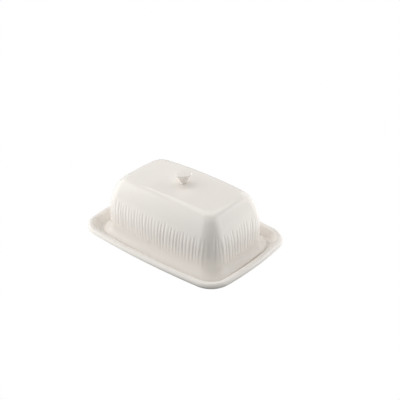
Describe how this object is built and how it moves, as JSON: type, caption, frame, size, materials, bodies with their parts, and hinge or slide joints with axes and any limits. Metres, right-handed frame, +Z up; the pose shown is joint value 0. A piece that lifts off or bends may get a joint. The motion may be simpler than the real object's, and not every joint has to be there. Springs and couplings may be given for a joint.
{
  "type": "butter dish",
  "caption": "Lidded butter dish in glazed white porcelain: a rimmed tray and a deep lift-off lid with a carved band of flutes and a small knob.",
  "frame": {"origin": "centre of the tray's foot ring, on the surface that the dish stands on", "axes": "+X along the dish, +Y across it, +Z up"},
  "size_m": [0.1994, 0.1386, 0.0843],
  "materials": {
    "glaze": "clear gloss glaze over warm white porcelain"
  },
  "bodies": {
    "tray": {"tray": "glaze"},
    "lid": {"lid": "glaze", "knob": "glaze"}
  },
  "joints": [
    {"name": "lid_lift", "type": "slide", "parent": "tray", "child": "lid", "axis": [0, 0, 1], "range_m": [0, 0.12]}
  ]
}
